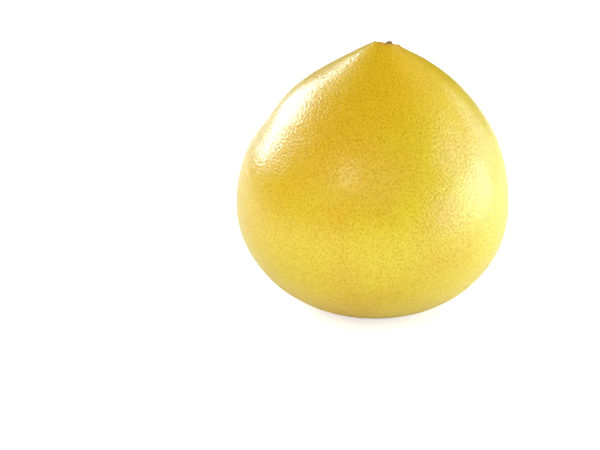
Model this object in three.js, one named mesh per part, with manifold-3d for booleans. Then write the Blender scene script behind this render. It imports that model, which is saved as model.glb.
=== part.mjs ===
// A whole pomelo, as picked, standing on the small flat spot round its blossom end.
//
// The fruit grew as one piece, so it is one solid: a low round bowl below the girth, a
// long flank that rises to a blunt crown, and a shallow cup in the crown. The dried stem
// button, a woody calyx with the stub of its stalk, is the other piece, and sits in the cup.
//
// Millimetres, +Z up. The origin is on the surface that the fruit stands on, in the middle
// of the fruit's width and depth. The crown leans to the right, +X, and to the back, +Y.
import * as THREE from "three";
import { mergeVertices } from "three/addons/utils/BufferGeometryUtils.js";
import Module from "manifold-3d";

const wasm = await Module();
wasm.setup();

const { degToRad, clamp, smoothstep } = THREE.MathUtils;
const UP = new THREE.Vector3(0, 0, 1);

// ---- The fruit: its turned outline ----
const GIRTH_RADIUS = 74; // the widest ring
const GIRTH_HEIGHT = 56.6; // how high the widest ring lies
const HEIGHT = 145.5; // the rim of the crown, before it tilts
const REST_RADIUS = 14; // the flat spot
const BOWL_SPREAD = 0.558; // share of the width that the bowl keeps low before it turns up
const BOWL_RISE = 0.518; // share of the girth height over which the side stays upright
const SHOULDER_RISE = 0.471; // the same above the girth
const FLANK_SLOPE = degToRad(27.9); // fall of the flank from the crown
const FLANK_LENGTH = 45.6; // how far the flank keeps that fall
const CROWN_RADIUS = 7.9; // the outer edge of the crown
const CROWN_ROUND = 0.9; // height of the rim above that edge
const CUP_RADIUS = 5.5; // the cup's mouth
const CUP_FLOOR_RADIUS = 4.8;
const CUP_DEPTH = 1.8;
const CUP_LIP = 0.1; // how far the lip rolls down into the cup

// ---- The fruit: how it grew away from that outline ----
const LEAN_X = 5.7; // the crown stands this far to the right
const LEAN_Y = 6.5; // and this far to the back
const LEAN_POWER = 1.93; // how late in the rise the lean comes in
const TILT_X = Math.tan(degToRad(8.8)); // the rim falls to the right
const TILT_Y = Math.tan(degToRad(15)); // and to the back
const TILT_REACH = 10.2; // how far from the axis the tilt dies out

// Long soft swellings round the fruit: how many, their depth as a share of the radius, and
// the bearing of one crest, anticlockwise from +X.
const SWELLINGS = [
  { count: 2, depth: 0.0063, crest: degToRad(-34) },
  { count: 3, depth: 0.008, crest: degToRad(68) },
  { count: 5, depth: 0.003, crest: degToRad(20) },
];

// Five short folds round the crown.
const FOLDS = 5;
const FOLD_DEPTH = 0.3;
const FOLD_REACH = 16; // how far below the rim they die out

// The left shoulder stands out above a flatter stretch.
const SHOULDER_DEPTH = 1.75;
const SHOULDER_LOW = 83;
const SHOULDER_HIGH = 138;

// ---- The blossom end: a small round scar in the flat spot ----
const SCAR_RADIUS = 2.6;
const SCAR_DEPTH = 0.9;
const SCAR_FLOOR = 0.7; // share of its radius over which its floor stays flat
const SCAR_X = 3;
const SCAR_Y = -4.5;

// ---- The stem button ----
const CALYX_RADIUS = 4.1;
const CALYX_NOTCH = 0.7; // how far the gaps between its lobes run in
const CALYX_LOBES = 5;
const CALYX_THICKNESS = 0.6;
const CALYX_BEVEL = 0.25;
const STALK_RADIUS = 2.3; // where it leaves the calyx
const STALK_WAIST = 1.3;
const STALK_FLARE = 1.7; // below its broken end
const STALK_END = 0.65; // the middle of the broken end, which is rounded off
const STALK_DIMPLE = 0.2; // how far that middle is sunk
const STALK_HEIGHT = 2.9;
const STALK_OFFSET = 0.8; // it leaves the calyx this far right of the middle
const STALK_LEAN = 1; // and its broken end stands this much further right
const SEAT_GAP = 0.3; // between the button and the floor of the cup

// ---- Fineness ----
const STEPS_ROUND = 72;
const BOWL_STEPS = 15;
const FLANK_STEPS = 21;
const CROWN_STEPS = 4;
const SCAR_STEPS = 24;
const CALYX_STEPS = 60;
const STALK_STEPS = 20;

const at = (x, y) => new THREE.Vector2(x, y);

// The outline of the fruit, from the middle of the flat spot, up the side and into the cup.
function outline() {
  const edge = HEIGHT - CROWN_ROUND;
  const bowl = new THREE.CubicBezierCurve(
    at(REST_RADIUS, 0),
    at(REST_RADIUS + BOWL_SPREAD * (GIRTH_RADIUS - REST_RADIUS), 0),
    at(GIRTH_RADIUS, GIRTH_HEIGHT * (1 - BOWL_RISE)),
    at(GIRTH_RADIUS, GIRTH_HEIGHT),
  );
  const flank = new THREE.CubicBezierCurve(
    at(GIRTH_RADIUS, GIRTH_HEIGHT),
    at(GIRTH_RADIUS, GIRTH_HEIGHT + SHOULDER_RISE * (edge - GIRTH_HEIGHT)),
    at(
      CROWN_RADIUS + FLANK_LENGTH * Math.cos(FLANK_SLOPE),
      edge - FLANK_LENGTH * Math.sin(FLANK_SLOPE),
    ),
    at(CROWN_RADIUS, edge),
  );
  const crown = new THREE.QuadraticBezierCurve(
    at(CROWN_RADIUS, edge),
    at((CROWN_RADIUS + CUP_RADIUS) / 2, HEIGHT + CUP_LIP),
    at(CUP_RADIUS, HEIGHT - CUP_LIP),
  );
  return [
    at(0, 0),
    ...bowl.getPoints(BOWL_STEPS),
    ...flank.getPoints(FLANK_STEPS).slice(1),
    ...crown.getPoints(CROWN_STEPS).slice(1),
    at(CUP_FLOOR_RADIUS, HEIGHT - CUP_DEPTH),
    at(0, HEIGHT - CUP_DEPTH),
  ];
}

// Moves a point of the turned form to where the grown fruit has it.
function grow(point) {
  const bearing = Math.atan2(point.y, point.x);
  const radius = Math.hypot(point.x, point.y);
  const swelling = SWELLINGS.reduce(
    (sum, { count, depth, crest }) => sum + depth * Math.cos(count * (bearing - crest)),
    0,
  );
  const girth = Math.min(1, radius / GIRTH_RADIUS) ** 2; // swellings fade towards the axis
  const along = clamp((point.z - SHOULDER_LOW) / (SHOULDER_HIGH - SHOULDER_LOW), 0, 1);
  const left = Math.max(0, -Math.cos(bearing)) ** 2;
  const wave = Math.sin(2 * Math.PI * along) * Math.sin(Math.PI * along);
  const shoulder = -SHOULDER_DEPTH * wave * left;
  const crown = smoothstep(point.z, HEIGHT - FOLD_REACH, HEIGHT) * smoothstep(radius, 0, CROWN_RADIUS);
  const fold = FOLD_DEPTH * Math.cos(FOLDS * bearing) * crown;
  const grown = radius * (1 + swelling * girth) + shoulder + fold;
  const x = grown * Math.cos(bearing);
  const y = grown * Math.sin(bearing);
  const rise = clamp((point.z - GIRTH_HEIGHT) / (HEIGHT - GIRTH_HEIGHT), 0, 1) ** LEAN_POWER;
  const tilt = point.z > GIRTH_HEIGHT ? Math.exp(-0.5 * (grown / TILT_REACH) ** 2) : 0;
  point.set(x + LEAN_X * rise, y + LEAN_Y * rise, point.z - tilt * (x * TILT_X + y * TILT_Y));
}

function solidOf(geometry) {
  const bare = geometry.clone();
  bare.deleteAttribute("normal");
  bare.deleteAttribute("uv");
  const merged = mergeVertices(bare, 1e-4);
  return new wasm.Manifold(
    new wasm.Mesh({
      numProp: 3,
      vertProperties: merged.attributes.position.array,
      triVerts: new Uint32Array(merged.index.array),
    }),
  );
}

function geometryOf(solid) {
  const { vertProperties, triVerts } = solid.getMesh();
  const geometry = new THREE.BufferGeometry();
  geometry.setAttribute("position", new THREE.BufferAttribute(vertProperties, 3));
  geometry.setIndex(new THREE.BufferAttribute(triVerts, 1));
  geometry.computeVertexNormals();
  return geometry;
}

// Turns an outline of (radius, height) points about Z.
function turned(points, steps) {
  return new THREE.LatheGeometry(points, steps).rotateX(Math.PI / 2);
}

function fruitGeometry() {
  const body = turned(outline(), STEPS_ROUND);
  const place = body.getAttribute("position");
  const point = new THREE.Vector3();
  for (let i = 0; i < place.count; i++) {
    grow(point.fromBufferAttribute(place, i));
    place.setXYZ(i, point.x, point.y, point.z);
  }
  const below = -SCAR_DEPTH; // the cutting form starts outside the fruit
  const roof = new THREE.QuadraticBezierCurve(
    at(SCAR_RADIUS, 0),
    at(SCAR_RADIUS * SCAR_FLOOR, SCAR_DEPTH),
    at(0, SCAR_DEPTH),
  );
  const scar = turned([at(0, below), at(SCAR_RADIUS, below), ...roof.getPoints(5)], SCAR_STEPS);
  scar.translate(SCAR_X, SCAR_Y, 0);
  return geometryOf(solidOf(body).subtract(solidOf(scar)));
}

// The five-lobed calyx, flat under and bevelled on its edge, and the leaning stub of the stalk.
function buttonGeometry() {
  const lobes = new THREE.Shape();
  for (let i = 0; i < CALYX_STEPS; i++) {
    const bearing = (2 * Math.PI * i) / CALYX_STEPS;
    const notch = CALYX_NOTCH * (0.5 - 0.5 * Math.cos(CALYX_LOBES * bearing));
    const radius = CALYX_RADIUS - CALYX_BEVEL - notch;
    const x = radius * Math.cos(bearing);
    const y = radius * Math.sin(bearing);
    if (i === 0) lobes.moveTo(x, y);
    else lobes.lineTo(x, y);
  }
  const calyx = new THREE.ExtrudeGeometry(lobes, {
    depth: CALYX_THICKNESS,
    bevelSize: CALYX_BEVEL,
    bevelThickness: CALYX_BEVEL,
    bevelSegments: 2,
  }).translate(0, 0, CALYX_BEVEL);
  const side = new THREE.CubicBezierCurve(
    at(STALK_RADIUS, CALYX_THICKNESS),
    at(STALK_WAIST, STALK_HEIGHT / 2),
    at(STALK_FLARE, STALK_HEIGHT),
    at(STALK_END, STALK_HEIGHT),
  );
  const foot = [at(0, CALYX_BEVEL), at(STALK_RADIUS, CALYX_BEVEL)];
  const end = at(0, STALK_HEIGHT - STALK_DIMPLE);
  const stalk = turned([...foot, ...side.getPoints(8), end], STALK_STEPS);
  stalk.applyMatrix4(new THREE.Matrix4().makeShear(0, 0, 0, 0, STALK_LEAN / STALK_HEIGHT, 0));
  stalk.translate(STALK_OFFSET, 0, 0);
  return geometryOf(solidOf(calyx).add(solidOf(stalk)));
}

const fruit = new THREE.Mesh(
  fruitGeometry(),
  new THREE.MeshStandardMaterial({ color: 0xe6bd2c, roughness: 0.42, metalness: 0 }),
);
fruit.name = "fruit";

// The button stands square to the tilted floor of the cup.
const cup = new THREE.Vector3(0, 0, HEIGHT - CUP_DEPTH);
grow(cup);
const square = new THREE.Vector3(TILT_X, TILT_Y, 1).normalize();
const button = new THREE.Mesh(
  buttonGeometry(),
  new THREE.MeshStandardMaterial({ color: 0x7a5a38, roughness: 0.85, metalness: 0 }),
);
button.name = "stem_button";
button.quaternion.setFromUnitVectors(UP, square);
button.position.copy(cup).addScaledVector(square, SEAT_GAP);

const pomelo = new THREE.Group();
pomelo.name = "pomelo";
pomelo.add(fruit, button);

// The swellings shift the widest points a little, so the pieces move to keep the origin
// in the middle of the fruit's width and depth.
const middle = new THREE.Box3().setFromObject(fruit).getCenter(new THREE.Vector3());
for (const piece of pomelo.children) piece.position.sub(new THREE.Vector3(middle.x, middle.y, 0));

export default pomelo;
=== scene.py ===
import math
import random

import bmesh
import bpy
import numpy as np
from mathutils import Matrix, Vector, kdtree, noise


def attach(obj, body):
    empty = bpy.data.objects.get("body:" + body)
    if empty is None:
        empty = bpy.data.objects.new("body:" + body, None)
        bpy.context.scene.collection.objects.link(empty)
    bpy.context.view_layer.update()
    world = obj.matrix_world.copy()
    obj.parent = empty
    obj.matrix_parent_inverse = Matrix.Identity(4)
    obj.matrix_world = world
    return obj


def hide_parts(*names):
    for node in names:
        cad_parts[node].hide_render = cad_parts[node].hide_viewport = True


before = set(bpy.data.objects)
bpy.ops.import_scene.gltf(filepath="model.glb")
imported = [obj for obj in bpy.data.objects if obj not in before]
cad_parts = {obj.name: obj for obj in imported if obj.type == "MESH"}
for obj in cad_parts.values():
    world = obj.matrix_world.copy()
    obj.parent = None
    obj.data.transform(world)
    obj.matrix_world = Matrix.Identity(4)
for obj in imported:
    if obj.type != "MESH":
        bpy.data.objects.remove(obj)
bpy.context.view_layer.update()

scene = bpy.context.scene
scene.view_settings.view_transform = "Standard"


# ---- The camera ----
# A long lens looks down on the fruit from in front. It looks past a point inside the fruit,
# so that the fruit stands right of the middle and above it.
CAMERA_FALL = math.radians(22)
CAMERA_DISTANCE = 0.9066
FRUIT_RIGHT_OF_MIDDLE = 0.0399
FRUIT_ABOVE_MIDDLE = 0.0243
INSIDE_FRUIT = Vector((0.0006, -0.0004, 0.07))

look = Vector((0, math.cos(CAMERA_FALL), -math.sin(CAMERA_FALL)))
right = Vector((1, 0, 0))
up = right.cross(look)

camera_data = bpy.data.cameras.new("camera")
camera_data.lens = 100
camera_data.sensor_width = 36
camera_data.clip_end = 20
camera = bpy.data.objects.new("camera", camera_data)
camera.location = (
    INSIDE_FRUIT - look * CAMERA_DISTANCE - right * FRUIT_RIGHT_OF_MIDDLE - up * FRUIT_ABOVE_MIDDLE
)
camera.rotation_euler = (math.pi / 2 - CAMERA_FALL, 0, 0)
scene.collection.objects.link(camera)
scene.camera = camera


# ---- The floor and the air round it ----
# A wide matt white floor in white air. The floor throws a faintly warm light back at the
# fruit. To the camera alone both are brighter and plain white, so that the picture's ground
# stays near white round a faint soft shadow.
FLOOR_SIZE = 8
FLOOR_WHITE = (0.8, 0.8, 0.8, 1)
FLOOR_BOUNCE = (0.84, 0.78, 0.62, 1)
FLOOR_ROUGHNESS = 0.9
NEAR, FAR = 0.3, 1.5
GLOW_NEAR, GLOW_FAR = 0.62, 1
AIR_LIGHT = 0.2


def add_node(tree, kind, settings=None, values=None, sources=None):
    """A shader node with its settings, the fixed values and the sources of its inputs."""
    node = tree.nodes.new("ShaderNode" + kind)
    for name, value in (settings or {}).items():
        setattr(node, name, value)
    for name, value in (values or {}).items():
        node.inputs[name].default_value = value
    for name, source in (sources or {}).items():
        tree.links.new(source, node.inputs[name])
    return node


def lay_over(tree, amount, first, second, how="MIX"):
    """The first colour, with the second one laid over it by an amount from 0 to 1."""
    node = add_node(tree, "Mix", {"data_type": "RGBA", "blend_type": how}, {}, {"Factor": amount})
    for name, colour in (("A", first), ("B", second)):
        if isinstance(colour, bpy.types.NodeSocket):
            tree.links.new(colour, node.inputs[name])
        else:
            node.inputs[name].default_value = colour
    return node.outputs["Result"]


def ramp(tree, source, low, high, to_low, to_high):
    """A value that runs evenly from one amount to another between two limits."""
    values = {"From Min": low, "From Max": high, "To Min": to_low, "To Max": to_high}
    return add_node(tree, "MapRange", {}, values, {"Value": source}).outputs["Result"]


def of_two(tree, operation, first, second):
    """The sum or the product of two amounts."""
    sources = {0: first, 1: second}
    return add_node(tree, "Math", {"operation": operation}, {}, sources).outputs["Value"]


floor_mesh = bpy.data.meshes.new("floor")
bm = bmesh.new()
bmesh.ops.create_grid(bm, x_segments=1, y_segments=1, size=FLOOR_SIZE / 2)
bm.to_mesh(floor_mesh)
bm.free()
floor_finish = bpy.data.materials.new("matt_white")
floor_finish.use_nodes = True
tree = floor_finish.node_tree
shader = tree.nodes["Principled BSDF"]
shader.inputs["Roughness"].default_value = FLOOR_ROUGHNESS
shader.inputs["Specular IOR Level"].default_value = 0
shader.inputs["Emission Color"].default_value = (1, 1, 1, 1)
seen = add_node(tree, "LightPath").outputs["Is Camera Ray"]
tree.links.new(lay_over(tree, seen, FLOOR_BOUNCE, FLOOR_WHITE), shader.inputs["Base Color"])
place = add_node(tree, "TexCoord").outputs["Object"]
distance = add_node(tree, "VectorMath", {"operation": "LENGTH"}, {}, {0: place}).outputs["Value"]
glow = ramp(tree, distance, NEAR, FAR, GLOW_NEAR, GLOW_FAR)
tree.links.new(of_two(tree, "MULTIPLY", seen, glow), shader.inputs["Emission Strength"])
floor_mesh.materials.append(floor_finish)
floor = bpy.data.objects.new("floor", floor_mesh)
scene.collection.objects.link(floor)

world = bpy.data.worlds.new("white_air")
world.use_nodes = True
tree = world.node_tree
air = tree.nodes["Background"]
air.inputs["Color"].default_value = (1, 1, 1, 1)
seen = add_node(tree, "LightPath").outputs["Is Camera Ray"]
tree.links.new(ramp(tree, seen, 0, 1, AIR_LIGHT, 1), air.inputs["Strength"])
world.cycles_visibility.glossy = False
scene.world = world


# ---- The fruit ----
# A pomelo grows as one piece: a low round bowl below the girth and a long flank above it, up
# to a blunt crown with a shallow cup. It leans and swells a little as it grows. Close-set oil
# glands lie just under its thick waxy peel, each with a small round dimple over it.
GIRTH_RADIUS = 0.074
GIRTH_HEIGHT = 0.0566
HEIGHT = 0.1455
REST_RADIUS = 0.014  # the flat spot
BOWL_SPREAD = 0.558
BOWL_RISE = 0.518
SHOULDER_RISE = 0.471
FLANK_SLOPE = math.radians(27.9)
FLANK_LENGTH = 0.0456
CROWN_RADIUS = 0.0079
CROWN_ROUND = 0.0009
CUP_RADIUS = 0.0055
CUP_FLOOR_RADIUS = 0.0048
CUP_DEPTH = 0.0018
CUP_LIP = 0.0001
LIP_ROUND = 0.0005
LEAN = (0.0057, 0.0065)  # of the crown, to the right and to the back
LEAN_POWER = 1.93
TILT = (math.tan(math.radians(8.8)), math.tan(math.radians(15)))  # of the cup, the same way
TILT_REACH = 0.0102
# Each swelling's count round the girth, its share of the radius and the bearing of one crest.
SWELLINGS = [
    (2, 0.0063, math.radians(-34)),
    (3, 0.008, math.radians(68)),
    (5, 0.003, math.radians(20)),
]
FOLDS = 5  # soft ones, that run down from the crown
FOLD_DEPTH = 0.0003
FOLD_REACH = 0.016
SHOULDER_DEPTH = 0.00175  # how far the left shoulder stands out, above a flatter stretch
SHOULDER_LOW = 0.083
SHOULDER_HIGH = 0.138
SCAR_RADIUS = 0.0026
SCAR_DEPTH = 0.0009
SCAR_FLOOR = 0.7
SCAR = (0.003, -0.0045)  # from the middle of the flat spot
OUTLINE_STEPS = {"bowl": 200, "flank": 300, "crown": 20, "wall": 20}


def bezier(points, steps):
    """Points along a Bezier curve of any degree."""
    t = np.linspace(0, 1, steps + 1)[:, None]
    curve = [np.broadcast_to(np.array(p, float), (steps + 1, 2)) for p in points]
    while len(curve) > 1:
        curve = [a * (1 - t) + b * t for a, b in zip(curve, curve[1:])]
    return curve[0]


def smoothstep(x, low, high):
    """0 up to the low limit, 1 from the high one on, and a smooth rise between them."""
    t = np.clip((x - low) / (high - low), 0, 1)
    return t * t * (3 - 2 * t)


def outline():
    """The turned outline, as (radius, height), from the middle of the flat spot into the cup."""
    edge = HEIGHT - CROWN_ROUND
    bowl = bezier(
        [
            (REST_RADIUS, 0),
            (REST_RADIUS + BOWL_SPREAD * (GIRTH_RADIUS - REST_RADIUS), 0),
            (GIRTH_RADIUS, GIRTH_HEIGHT * (1 - BOWL_RISE)),
            (GIRTH_RADIUS, GIRTH_HEIGHT),
        ],
        OUTLINE_STEPS["bowl"],
    )
    flank = bezier(
        [
            (GIRTH_RADIUS, GIRTH_HEIGHT),
            (GIRTH_RADIUS, GIRTH_HEIGHT + SHOULDER_RISE * (edge - GIRTH_HEIGHT)),
            (
                CROWN_RADIUS + FLANK_LENGTH * math.cos(FLANK_SLOPE),
                edge - FLANK_LENGTH * math.sin(FLANK_SLOPE),
            ),
            (CROWN_RADIUS, edge),
        ],
        OUTLINE_STEPS["flank"],
    )
    crown = bezier(
        [
            (CROWN_RADIUS, edge),
            ((CROWN_RADIUS + CUP_RADIUS) / 2, HEIGHT + CUP_LIP),
            (CUP_RADIUS, HEIGHT - CUP_LIP),
        ],
        OUTLINE_STEPS["crown"],
    )
    wall = bezier(
        [
            (CUP_RADIUS, HEIGHT - CUP_LIP),
            (CUP_RADIUS - LIP_ROUND, HEIGHT - CUP_LIP * 2),
            (CUP_FLOOR_RADIUS, HEIGHT - CUP_DEPTH / 2),
            (CUP_FLOOR_RADIUS, HEIGHT - CUP_DEPTH),
        ],
        OUTLINE_STEPS["wall"],
    )
    return np.vstack([[(0, 0)], bowl, flank[1:], crown[1:], wall[1:], [(0, HEIGHT - CUP_DEPTH)]])


def grow(place):
    """Moves points of the turned form, an array of x, y, z rows, to where the fruit has them."""
    x, y, z = place.T
    bearing = np.arctan2(y, x)
    radius = np.hypot(x, y)
    swelling = sum(depth * np.cos(count * (bearing - crest)) for count, depth, crest in SWELLINGS)
    girth = np.minimum(1, radius / GIRTH_RADIUS) ** 2
    along = np.clip((z - SHOULDER_LOW) / (SHOULDER_HIGH - SHOULDER_LOW), 0, 1)
    wave = np.sin(2 * np.pi * along) * np.sin(np.pi * along)
    shoulder = -SHOULDER_DEPTH * wave * np.maximum(0, -np.cos(bearing)) ** 2
    crown = smoothstep(z, HEIGHT - FOLD_REACH, HEIGHT) * smoothstep(radius, 0, CROWN_RADIUS)
    fold = FOLD_DEPTH * np.cos(FOLDS * bearing) * crown
    grown = radius * (1 + swelling * girth) + shoulder + fold
    x = grown * np.cos(bearing)
    y = grown * np.sin(bearing)
    rise = np.clip((z - GIRTH_HEIGHT) / (HEIGHT - GIRTH_HEIGHT), 0, 1) ** LEAN_POWER
    tilt = np.exp(-0.5 * (grown / TILT_REACH) ** 2) * (z > GIRTH_HEIGHT)
    z = z - tilt * (x * TILT[0] + y * TILT[1])
    return np.stack([x + LEAN[0] * rise, y + LEAN[1] * rise, z], 1)


# The skin of a ball is spread evenly over the outline, so that the glands stand equally close.
profile = outline()
strips = np.pi * (profile[1:, 0] + profile[:-1, 0]) * np.hypot(*np.diff(profile, axis=0).T)
share = np.concatenate([[0], np.cumsum(strips)]) / strips.sum()
falls = 2 * np.arcsin(np.sqrt(np.clip(share, 0, 1)))


def form(verts):
    """Where the fruit's surface has the points of the ball, before it is centred."""
    direction = np.array([v.co.normalized() for v in verts])
    fall = np.arccos(np.clip(-direction[:, 2], -1, 1))
    bearing = np.arctan2(direction[:, 1], direction[:, 0])
    radius = np.interp(fall, falls, profile[:, 0])
    height = np.interp(fall, falls, profile[:, 1])
    return grow(np.stack([radius * np.cos(bearing), radius * np.sin(bearing), height], 1))


# A ball of close points, shaken so that they stand unevenly, one for each large gland. The
# shift and the sizes of the rings below are shares of the mean distance between neighbours.
NET_CUTS = 8
GLAND_SHIFT = 0.42
NET_EASE = 0.35
EASE_ROUNDS = 2
SEED = 11

random.seed(SEED)
bm = bmesh.new()
bmesh.ops.create_icosphere(bm, subdivisions=3, radius=1)
bmesh.ops.subdivide_edges(bm, edges=bm.edges[:], cuts=NET_CUTS, use_grid_fill=True)
pitch = math.sqrt(4 * math.pi / len(bm.verts) * 2 / math.sqrt(3))
for v in bm.verts:
    away = Vector(random.gauss(0, 1) for _ in range(3)).normalized()
    v.co = (v.co.normalized() + away * pitch * GLAND_SHIFT).normalized()
bmesh.ops.beautify_fill(bm, faces=bm.faces[:], edges=bm.edges[:], method="ANGLE")
for _ in range(EASE_ROUNDS):
    bmesh.ops.smooth_vert(
        bm, verts=bm.verts[:], factor=NET_EASE, use_axis_x=True, use_axis_y=True, use_axis_z=True
    )
    for v in bm.verts:
        v.co.normalize()
bmesh.ops.beautify_fill(bm, faces=bm.faces[:], edges=bm.edges[:], method="ANGLE")

# Each point is opened to a small ring with a middle, as wide as its neighbours let it be. The
# rim of the crown, the cup and the blossom scar have no glands, and are cut finer instead.
RING_START = 0.12
RING_RADIUS = (0.34, 0.5)
RING_ROOM = 0.47
RING_WOBBLE = (0.72, 1)
GLAND_STRENGTH = (0.4, 1)
BARE_CROWN = math.radians(7.5)
BARE_SCAR = 0.0034
BARE_CUTS = 7

first_form = form(bm.verts)
middle = (first_form.min(0) + first_form.max(0)) / 2 * (1, 1, 0)
near_scar = np.linalg.norm(first_form - (*SCAR, 0), axis=1) < BARE_SCAR
near_crown = [v.co.z > math.cos(BARE_CROWN) for v in bm.verts]
bare_verts = {v for v, a, b in zip(bm.verts, near_scar, near_crown) if a or b}
bare_edges = [e for e in bm.edges if all(v in bare_verts for v in e.verts)]
dimples = bmesh.ops.bevel(
    bm,
    geom=[v for v in bm.verts if v not in bare_verts],
    offset=pitch * RING_START,
    offset_type="OFFSET",
    affect="VERTICES",
    segments=1,
    profile=0.5,
    material=-1,
)["faces"]
centres = [f.calc_center_median() for f in dimples]
neighbours = kdtree.KDTree(len(centres))
for i, centre in enumerate(centres):
    neighbours.insert(centre, i)
neighbours.balance()
for f, centre in zip(dimples, centres):
    nearest = neighbours.find_n(centre, 2)[1][2]
    radius = min(pitch * random.uniform(*RING_RADIUS), nearest * RING_ROOM)
    for v in f.verts:
        v.co = centre + (v.co - centre).normalized() * radius * random.uniform(*RING_WOBBLE)
gland = bm.verts.layers.float.new("gland")
for v in bmesh.ops.poke(bm, faces=dimples, offset=0, center_mode="MEAN")["verts"]:
    v[gland] = random.uniform(*GLAND_STRENGTH)
bmesh.ops.subdivide_edges(bm, edges=bare_edges, cuts=BARE_CUTS, use_grid_fill=True)
bmesh.ops.triangulate(bm, faces=[f for f in bm.faces if len(f.verts) > 3])

# The ball takes the fruit's form, and then its relief: wide soft waves above the flat spot,
# the dimples, lumps and furrows round the crown, and the scar of the blossom. The crown is
# stained brown round the cup, and the scar is corky. A noise's scale is in blotches a metre.
DIMPLE_DEPTH = 0.0003
WAVES = [(60, 0.00018), (150, 0.00004)]
WAVES_START = (0.0001, 0.004)
CROWN_REACH = 0.013
CROWN_START = (0.003, 0.006)
LUMP_SCALE = 420
LUMP_HEIGHT = 0.00022
FURROW_CLOSENESS = 3.5
FURROW_TURN = 60
FURROW_DEPTH = 0.00025
STAIN_STRENGTH = 1.35
STAIN_REACH = 0.0095
STAIN_BLOTCHES = [(300, 0.35), (900, 0.175)]
STAIN_TO_THE_RIGHT = 0.2
FLAT_SPOT_TOP = 0.002
SCAR_GRAIN_SCALE = 1500
SCAR_GRAIN = 0.00012
CORK_EDGE = (0.85, 1.25)

for v, p in zip(bm.verts, form(bm.verts) - middle):
    v.co = p
bm.normal_update()
cup = Vector(grow(np.array([[0, 0, HEIGHT - CUP_DEPTH]]))[0] - middle)
scar = Vector((SCAR[0] - middle[0], SCAR[1] - middle[1], 0))
stain = bm.verts.layers.float.new("stain")
cork = bm.verts.layers.float.new("cork")
relief = []
for v in bm.verts:
    out = sum(height * noise.noise(v.co * scale) for scale, height in WAVES)
    out *= float(smoothstep(v.co.z, *WAVES_START))
    out -= DIMPLE_DEPTH * v[gland]
    if v.co.z > cup.z - CROWN_REACH * 2:
        from_cup = math.hypot(v.co.x - cup.x, v.co.y - cup.y)
        way = (v.co - cup).normalized()
        furrow = Vector((way.x * FURROW_CLOSENESS, way.y * FURROW_CLOSENESS, from_cup * FURROW_TURN))
        near = math.exp(-((from_cup / CROWN_REACH) ** 2)) * float(smoothstep(from_cup, *CROWN_START))
        out += near * LUMP_HEIGHT * noise.noise(v.co * LUMP_SCALE)
        out += near * FURROW_DEPTH * noise.noise(furrow)
        brown = STAIN_STRENGTH - from_cup / STAIN_REACH + STAIN_TO_THE_RIGHT * way.x
        brown += sum(share * noise.noise(v.co * scale) for scale, share in STAIN_BLOTCHES)
        v[stain] = min(1, max(0, brown))
    shift = v.normal * out
    if v.co.z < FLAT_SPOT_TOP:
        from_scar = math.hypot(v.co.x - scar.x, v.co.y - scar.y) / SCAR_RADIUS
        if from_scar < 1:
            inward = min(1, (1 - from_scar) / (1 - SCAR_FLOOR))
            shift = Vector((0, 0, SCAR_DEPTH * inward * (2 - inward)))
            shift.z += SCAR_GRAIN * noise.noise(v.co * SCAR_GRAIN_SCALE) * inward
        v[cork] = float(np.interp(from_scar, CORK_EDGE, (1, 0)))
    relief.append(shift)
for v, shift in zip(bm.verts, relief):
    v.co += shift
    v.co.z = max(0, v.co.z)

skin_mesh = bpy.data.meshes.new("skin")
bm.to_mesh(skin_mesh)
bm.free()
skin_mesh.polygons.foreach_set("use_smooth", [True] * len(skin_mesh.polygons))
skin = bpy.data.objects.new("skin", skin_mesh)
scene.collection.objects.link(skin)


def between(tree, source, low, high, to_low=0, to_high=1):
    """A value that turns smoothly from one amount to another between two limits."""
    result = ramp(tree, source, low, high, to_low, to_high)
    result.node.interpolation_type = "SMOOTHSTEP"
    return result


def mottle(tree, scale, detail=3, roughness=0.55):
    """Soft noise through the piece, with so many blotches to the metre."""
    place = add_node(tree, "TexCoord").outputs["Object"]
    values = {"Scale": scale, "Detail": detail, "Roughness": roughness}
    return add_node(tree, "TexNoise", {}, values, {"Vector": place}).outputs["Fac"]


def marked(tree, name):
    """An amount that the mesh carries at its points."""
    return add_node(tree, "Attribute", {"attribute_name": name}).outputs["Fac"]


# The peel is lemon to gold in broad clouds. Towards the crown and the left side it is amber:
# partly the crown's own deeper colour, and partly painted shade, a deeper gold on the side away
# from the cool panels on the right.
# The large glands, small ones between them and a fine grain darken it together and thin the
# wax over it, so that the gloss there is golden. The wax is worn off where the crown is stained.
PEEL_GOLD = (0.86, 0.61, 0.001, 1)
PEEL_LEMON = (0.88, 0.71, 0.004, 1)
CLOUD_SCALE = 28
# Amber towards the crown and the left: partly the crown's own colour, partly painted shade.
PEEL_AMBER = (0.9, 0.575, 0.001, 1)
RIPE_AND_SHADED_SIDE = (-0.5, 0, 1)
RIPE_AND_SHADED_REACH = (0.065, 0.13)
PEEL_DEEP = (0.78, 0.50, 0.001, 1)
DEEP_SCALE = 380
SMALL_GLAND_SCALE = 760
GRAIN_SCALE = 950
GLAND_SHADE = (0.72, 0.62, 1, 1)
CLEAR_GLOSS = (1, 1, 1, 1)
GOLD_GLOSS = (1, 0.88, 0.35, 1)
CROWN_TAN = (0.50, 0.19, 0.02, 1)
CORK_TAN = (0.32, 0.17, 0.06, 1)
FULL_WAX, THIN_WAX, WORN_WAX = 0.95, 0.65, 0.1
PEEL_ROUGHNESS, STAIN_ROUGHNESS = 0.42, 0.8
SMALL_PIT_DEPTH = 0.00012
PORE_SCALE = 850
PORE_DEPTH = 0.00035

peel = bpy.data.materials.new("peel")
peel.use_nodes = True
tree = peel.node_tree
shader = tree.nodes["Principled BSDF"]
shader.inputs["IOR"].default_value = 1.6
shader.inputs["Specular IOR Level"].default_value = 0.8
shader.inputs["Subsurface Weight"].default_value = 0.2
shader.inputs["Subsurface Radius"].default_value = (1, 0.5, 0.1)
shader.inputs["Subsurface Scale"].default_value = 0.0015
shader.inputs["Coat Roughness"].default_value = 0.2
place = add_node(tree, "TexCoord").outputs["Object"]

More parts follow.
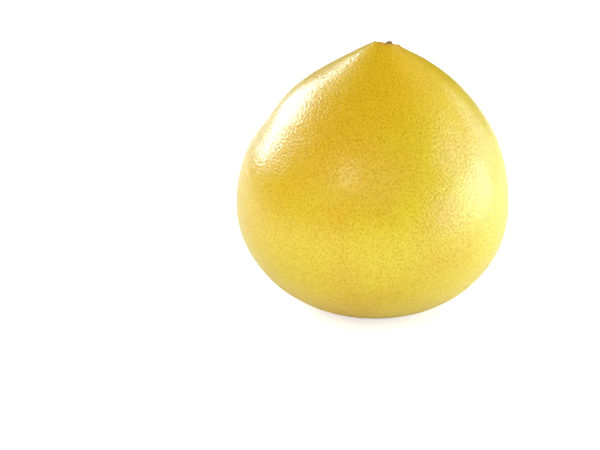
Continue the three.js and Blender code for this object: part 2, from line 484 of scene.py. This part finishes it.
clouds = between(tree, mottle(tree, CLOUD_SCALE, 1), 0.3, 0.6)
broad = lay_over(tree, clouds, PEEL_GOLD, PEEL_LEMON)
# Painted shade in part: the peel turns amber towards the crown and the left side.
towards = add_node(tree, "VectorMath", {"operation": "DOT_PRODUCT"}, {1: RIPE_AND_SHADED_SIDE}, {0: place})
ripe_and_shaded = between(tree, towards.outputs["Value"], *RIPE_AND_SHADED_REACH, 0, 0.9)
riper_and_shaded = lay_over(tree, ripe_and_shaded, broad, PEEL_AMBER)
patches = between(tree, mottle(tree, DEEP_SCALE), 0.35, 0.7, 0, 0.1)
ground = lay_over(tree, patches, riper_and_shaded, PEEL_DEEP)

large = between(tree, marked(tree, "gland"), 0, 0.4, 0, 0.75)
cells = add_node(tree, "TexVoronoi", {}, {"Scale": SMALL_GLAND_SCALE}, {"Vector": place})
small = between(tree, cells.outputs["Distance"], 0.55, 0.15, 0, 0.85)
grain = between(tree, mottle(tree, GRAIN_SCALE, 1), 0.34, 0.66, 0, 1.2)
both = of_two(tree, "ADD", large, small)
pitted = between(tree, of_two(tree, "ADD", both, grain), 0.2, 2.2)
shaded = between(tree, pitted, 0, 1, 0, 0.68)
dotted = lay_over(tree, shaded, ground, GLAND_SHADE, "MULTIPLY")

stained = marked(tree, "stain")
browned = lay_over(tree, between(tree, stained, 0.1, 1, 0, 0.75), dotted, CROWN_TAN)
corked = lay_over(tree, marked(tree, "cork"), browned, CORK_TAN)
tree.links.new(corked, shader.inputs["Base Color"])

tree.links.new(lay_over(tree, pitted, CLEAR_GLOSS, GOLD_GLOSS), shader.inputs["Specular Tint"])
dull = between(tree, stained, 0.2, 0.9, PEEL_ROUGHNESS, STAIN_ROUGHNESS)
tree.links.new(dull, shader.inputs["Roughness"])
wax = between(tree, pitted, 0, 1, FULL_WAX, THIN_WAX)
unworn = between(tree, stained, 0.2, 0.9, 1, WORN_WAX)
tree.links.new(of_two(tree, "MULTIPLY", wax, unworn), shader.inputs["Coat Weight"])

depth = {"Strength": 0.6, "Distance": SMALL_PIT_DEPTH}
pits = add_node(tree, "Bump", {"invert": True}, depth, {"Height": small}).outputs["Normal"]
depth = {"Strength": 1, "Distance": PORE_DEPTH}
over_pits = {"Height": mottle(tree, PORE_SCALE, 1), "Normal": pits}
pores = add_node(tree, "Bump", {}, depth, over_pits).outputs["Normal"]
tree.links.new(pores, shader.inputs["Normal"])
skin_mesh.materials.append(peel)
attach(skin, "root")
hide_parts("fruit")


# ---- The stem button ----
# A dry woody calyx of five blunt lobes, grown on the floor of the cup, with the stub of the
# stalk on it. The stalk snapped off as the fruit was picked, and left a torn fibrous end.
CALYX_RADIUS = 0.0044
CALYX_NOTCH = 0.0011
CALYX_LOBES = 5
CALYX_TOP = 0.0011
CALYX_ROOT = 0.0007
STALK_RADIUS = 0.0023
STALK_FOOT = 0.0006
STALK_WAIST = 0.0013
STALK_FLARE = 0.0017
STALK_END = 0.00065
STALK_DIMPLE = 0.0002
STALK_HEIGHT = 0.0027
STALK_OFFSET = 0.0012  # to the right of the calyx's middle
STALK_LEAN = 0.0016
SEAT_GAP = 0.0003  # between the calyx's middle and the floor of the cup
BUTTON_STEPS = 120
STALK_STEPS = 16
END_STEPS = 5

# The form is drawn up ring by ring. First comes the calyx, from under it, over its edge and
# in to the stalk, as the share of its radius and the height. The stalk and its end follow.
CALYX_RINGS = [
    (0.75, -CALYX_ROOT),
    (0.88, -0.0001),
    (0.97, 0.0001),
    (1.0, 0.0004),
    (0.99, 0.0007),
    (0.95, 0.00095),
    (0.89, CALYX_TOP),
    (0.82, 0.00108),
    (0.75, 0.00102),
    (0.68, 0.00102),
]
stalk_side = bezier(
    [
        (STALK_RADIUS, STALK_FOOT),
        (STALK_WAIST, STALK_HEIGHT / 2),
        (STALK_FLARE, STALK_HEIGHT),
        (STALK_END, STALK_HEIGHT),
    ],
    STALK_STEPS,
)
rings = [(CALYX_RADIUS * width, height) for width, height in CALYX_RINGS]
rings += [(radius, height) for radius, height in stalk_side if height > CALYX_TOP]
for i in range(1, END_STEPS):
    done = i / END_STEPS
    rings.append((STALK_END * (1 - done), STALK_HEIGHT - STALK_DIMPLE * done))

bm = bmesh.new()
radius, height = rings[0]
bmesh.ops.create_circle(
    bm, cap_ends=True, segments=BUTTON_STEPS, radius=radius, matrix=Matrix.Translation((0, 0, height))
)
rim = bm.edges[:]
for next_radius, next_height in rings[1:]:
    drawn = bmesh.ops.extrude_edge_only(bm, edges=rim)["geom"]
    rim = [e for e in drawn if isinstance(e, bmesh.types.BMEdge)]
    verts = [v for v in drawn if isinstance(v, bmesh.types.BMVert)]
    bmesh.ops.scale(bm, vec=(next_radius / radius, next_radius / radius, 1), verts=verts)
    bmesh.ops.translate(bm, vec=(0, 0, next_height - height), verts=verts)
    radius, height = next_radius, next_height
cap = bmesh.ops.holes_fill(bm, edges=rim, sides=0)["faces"]
bmesh.ops.poke(bm, faces=cap)
bmesh.ops.poke(bm, faces=[f for f in bm.faces if len(f.verts) > 4])
bmesh.ops.recalc_face_normals(bm, faces=bm.faces[:])

# The rings are then cut into lobes, and dried: fibres run up the stalk, wrinkles cross the
# calyx, each lobe curls its own way, and the end of the stalk is torn. The closeness of each
# noise is given round the axis first, and then along it or out from it, to the metre.
LOBES_FULL = 0.9  # the share of the calyx's radius from which they are cut in full
UPPER_SIDE = (0.0002, 0.0008)  # wrinkles and curls set in between these heights
TORN_FROM = 0.72  # the share of the stalk's height
FIBRES = [(4.5, 150, 1), (11, 300, 0.5)]
FIBRE_DEPTH = 0.00015
WRINKLES = (6, 300)
WRINKLE_DEPTH = 0.00012
CURLS = 1.6
CURL_PLACE = Vector((0, 0, 7))  # apart from the other noises
CURL_HEIGHT = 0.0004
EDGE_CLOSENESS = 2.4
EDGE_DEPTH = 0.00018
TEAR_SCALE = 2600
TEAR_DEPTH = 0.0004

groove = bm.verts.layers.float.new("groove")
torn = bm.verts.layers.float.new("torn")
for v in bm.verts:
    radius = math.hypot(v.co.x, v.co.y)
    if radius == 0:
        continue
    ray = Vector((v.co.x / radius, v.co.y / radius, 0))
    bearing = math.atan2(ray.y, ray.x)
    on_calyx = float(smoothstep(radius, STALK_RADIUS, CALYX_RADIUS * LOBES_FULL))
    on_top = on_calyx * float(smoothstep(v.co.z, *UPPER_SIDE))
    on_end = float(smoothstep(v.co.z, STALK_HEIGHT * TORN_FROM, STALK_HEIGHT))
    fibres = sum(
        share * noise.noise(ray * closeness + Vector((0, 0, v.co.z * along)))
        for closeness, along, share in FIBRES
    )
    wrinkles = noise.noise(ray * WRINKLES[0] + Vector((0, 0, radius * WRINKLES[1])))
    curl = noise.noise(ray * CURLS + CURL_PLACE)
    # Where fibres and wrinkles sink, a mark for the painted shade in the grooves.
    v[groove] = 0.5 - 0.5 * (fibres * (1 - on_calyx) + wrinkles * on_calyx)
    v[torn] = on_end
    radius -= on_calyx * CALYX_NOTCH * (0.5 - 0.5 * math.cos(CALYX_LOBES * bearing))
    radius += on_calyx * EDGE_DEPTH * noise.noise(ray * EDGE_CLOSENESS)
    radius += FIBRE_DEPTH * fibres * min(1, radius / STALK_WAIST)
    leaning = STALK_OFFSET * (1 - on_calyx) + STALK_LEAN * max(0, v.co.z - CALYX_TOP) / STALK_HEIGHT
    v.co.x = ray.x * radius + leaning
    v.co.y = ray.y * radius
    v.co.z += on_top * (WRINKLE_DEPTH * wrinkles + CURL_HEIGHT * curl * radius / CALYX_RADIUS)
    v.co.z += on_end * TEAR_DEPTH * noise.noise(Vector((v.co.x, v.co.y, 0)) * TEAR_SCALE)

# It stands square to the tilted floor of the cup.
square = Vector((TILT[0], TILT[1], 1)).normalized()
turn = Vector((0, 0, 1)).rotation_difference(square).to_matrix().to_4x4()
seat = Matrix.Translation(cup + square * SEAT_GAP) @ turn
bmesh.ops.transform(bm, matrix=seat, verts=bm.verts[:])

button_mesh = bpy.data.meshes.new("button")
bm.to_mesh(button_mesh)
bm.free()
button_mesh.polygons.foreach_set("use_smooth", [True] * len(button_mesh.polygons))
button = bpy.data.objects.new("button", button_mesh)
scene.collection.objects.link(button)

# The dry bark is mottled brown, with painted shade that makes it darkest in its grooves, and the torn
# end is paler.
BARK_DARK = (0.11, 0.05, 0.02, 1)
BARK_TAN = (0.47, 0.26, 0.11, 1)
FIBRE_PALE = (0.52, 0.34, 0.16, 1)
BARK_SCALE = 900
BARK_DEPTH = 0.0003
BARK_ROUGHNESS = 0.8

wood = bpy.data.materials.new("dry_stem")
wood.use_nodes = True
tree = wood.node_tree
shader = tree.nodes["Principled BSDF"]
shader.inputs["Roughness"].default_value = BARK_ROUGHNESS
grain = mottle(tree, BARK_SCALE, 4, 0.6)
bark = lay_over(tree, between(tree, grain, 0.3, 0.7), BARK_DARK, BARK_TAN)
# Painted shade: the bark is darkened in the grooves of the relief.
groove_shaded = lay_over(tree, between(tree, marked(tree, "groove"), 0.4, 0.75, 0, 0.8), bark, BARK_DARK)
ended = lay_over(tree, between(tree, marked(tree, "torn"), 0.3, 0.9, 0, 0.6), groove_shaded, FIBRE_PALE)
tree.links.new(ended, shader.inputs["Base Color"])
depth = {"Strength": 0.5, "Distance": BARK_DEPTH}
rough = add_node(tree, "Bump", {}, depth, {"Height": grain}).outputs["Normal"]
tree.links.new(rough, shader.inputs["Normal"])
button_mesh.materials.append(wood)
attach(button, "root")
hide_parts("stem_button")


# ---- The lights ----
# Soft panels stand round the fruit, as in a studio. Cool ones low on the right make its broad
# pale sheen, and a cool bright one behind it on the left makes the highlight on its shoulder.
# A small warm one makes a spot on the left, and large warm ones, not seen in the gloss, fill in.
COOL = (0.71, 0.87, 1)
WARM = (1, 0.94, 0.94)


def panel(name, azimuth, elevation, distance, width, height, radiance, colour, in_gloss=True):
    """A soft light panel. Azimuth 0 is behind the camera, 90 is on the right."""
    data = bpy.data.lights.new(name, "AREA")
    data.shape = "RECTANGLE"
    data.size = width
    data.size_y = height
    data.energy = math.pi * width * height * radiance
    data.color = colour
    a = math.radians(azimuth)
    e = math.radians(elevation)
    way = Vector((math.sin(a) * math.cos(e), -math.cos(a) * math.cos(e), math.sin(e)))
    light = bpy.data.objects.new(name, data)
    light.location = INSIDE_FRUIT + way * distance
    light.rotation_euler = way.to_track_quat("Z", "Y").to_euler()
    light.visible_camera = False
    light.visible_glossy = in_gloss
    scene.collection.objects.link(light)


# Azimuth and elevation are in degrees, then come distance, width and height in metres.
panel("right_low", 74, 5, 0.38, 0.5, 0.19, 2.2, COOL)
panel("right_high", 85, 35, 1.0, 0.6, 0.4, 1.9, COOL)
panel("right_side", 95, 8, 0.9, 0.5, 0.4, 2.2, COOL)
panel("right_rim", 125, 14, 1.0, 0.5, 0.5, 1.5, COOL)
panel("left_behind", -136, 21, 1.0, 0.56, 0.46, 8.4, COOL)
panel("left_spot", -32, 38, 1.0, 0.24, 0.24, 3.6, WARM)
panel("left_fill", -50, 25, 1.2, 0.8, 0.8, 2.7, WARM, in_gloss=False)
panel("front_fill", 0, 35, 1.2, 0.8, 0.8, 1.8, WARM, in_gloss=False)
panel("upper_fill", 135, 42, 1.2, 1.0, 0.8, 2.8, WARM, in_gloss=False)
panel("back_fill", 170, 35, 1.2, 1.0, 0.8, 2.0, COOL, in_gloss=False)
